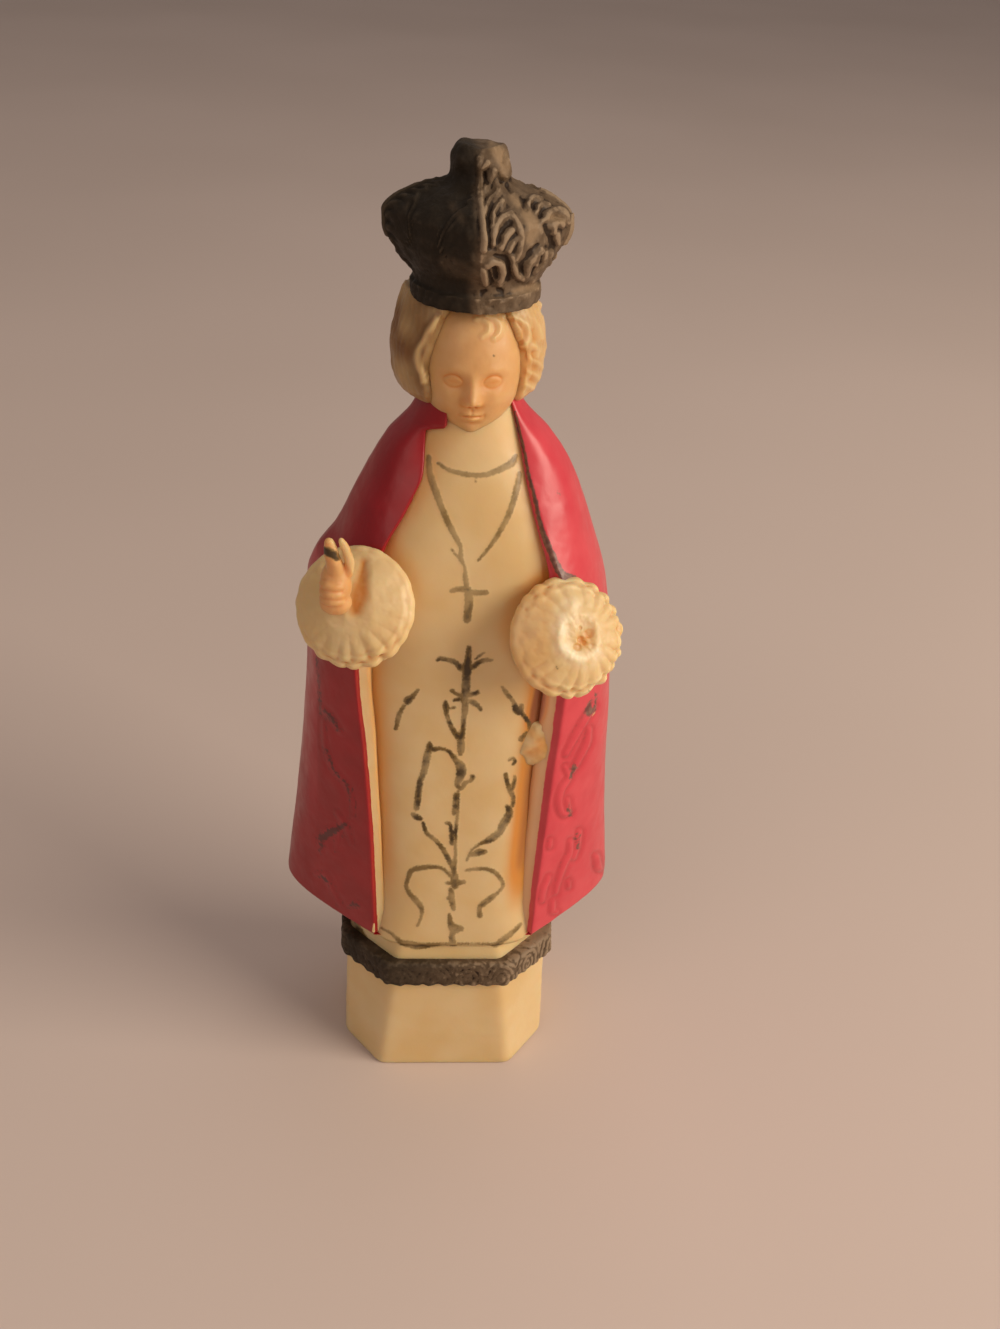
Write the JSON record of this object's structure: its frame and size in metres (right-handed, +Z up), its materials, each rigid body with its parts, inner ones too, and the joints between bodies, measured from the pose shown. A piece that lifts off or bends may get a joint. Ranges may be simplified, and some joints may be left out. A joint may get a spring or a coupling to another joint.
{
  "type": "infant of prague statuette",
  "caption": "Small moulded plastic devotional statuette of a crowned child in a long robe and an open red cape, raising a hand in blessing, on an octagonal plinth.",
  "frame": {"origin": "centre of the plinth's underside, where the statuette rests", "axes": "+Z up through the figure, which faces -Y; +X to the viewer's right, the side of the broken hand"},
  "size_m": [0.0429, 0.0284, 0.115],
  "materials": {
    "ivory_plastic": "translucent ivory polystyrene, satin, yellowed, amber in the hollows",
    "cape_red": "glossy crimson paint on the moulding, worn through at the edges",
    "aged_gold": "old gold paint gone brown and nearly black, rubbed on the high spots",
    "flesh_paint": "thin flesh-coloured paint over the ivory plastic"
  },
  "bodies": {
    "root": {"statuette": "ivory_plastic"}
  },
  "joints": []
}
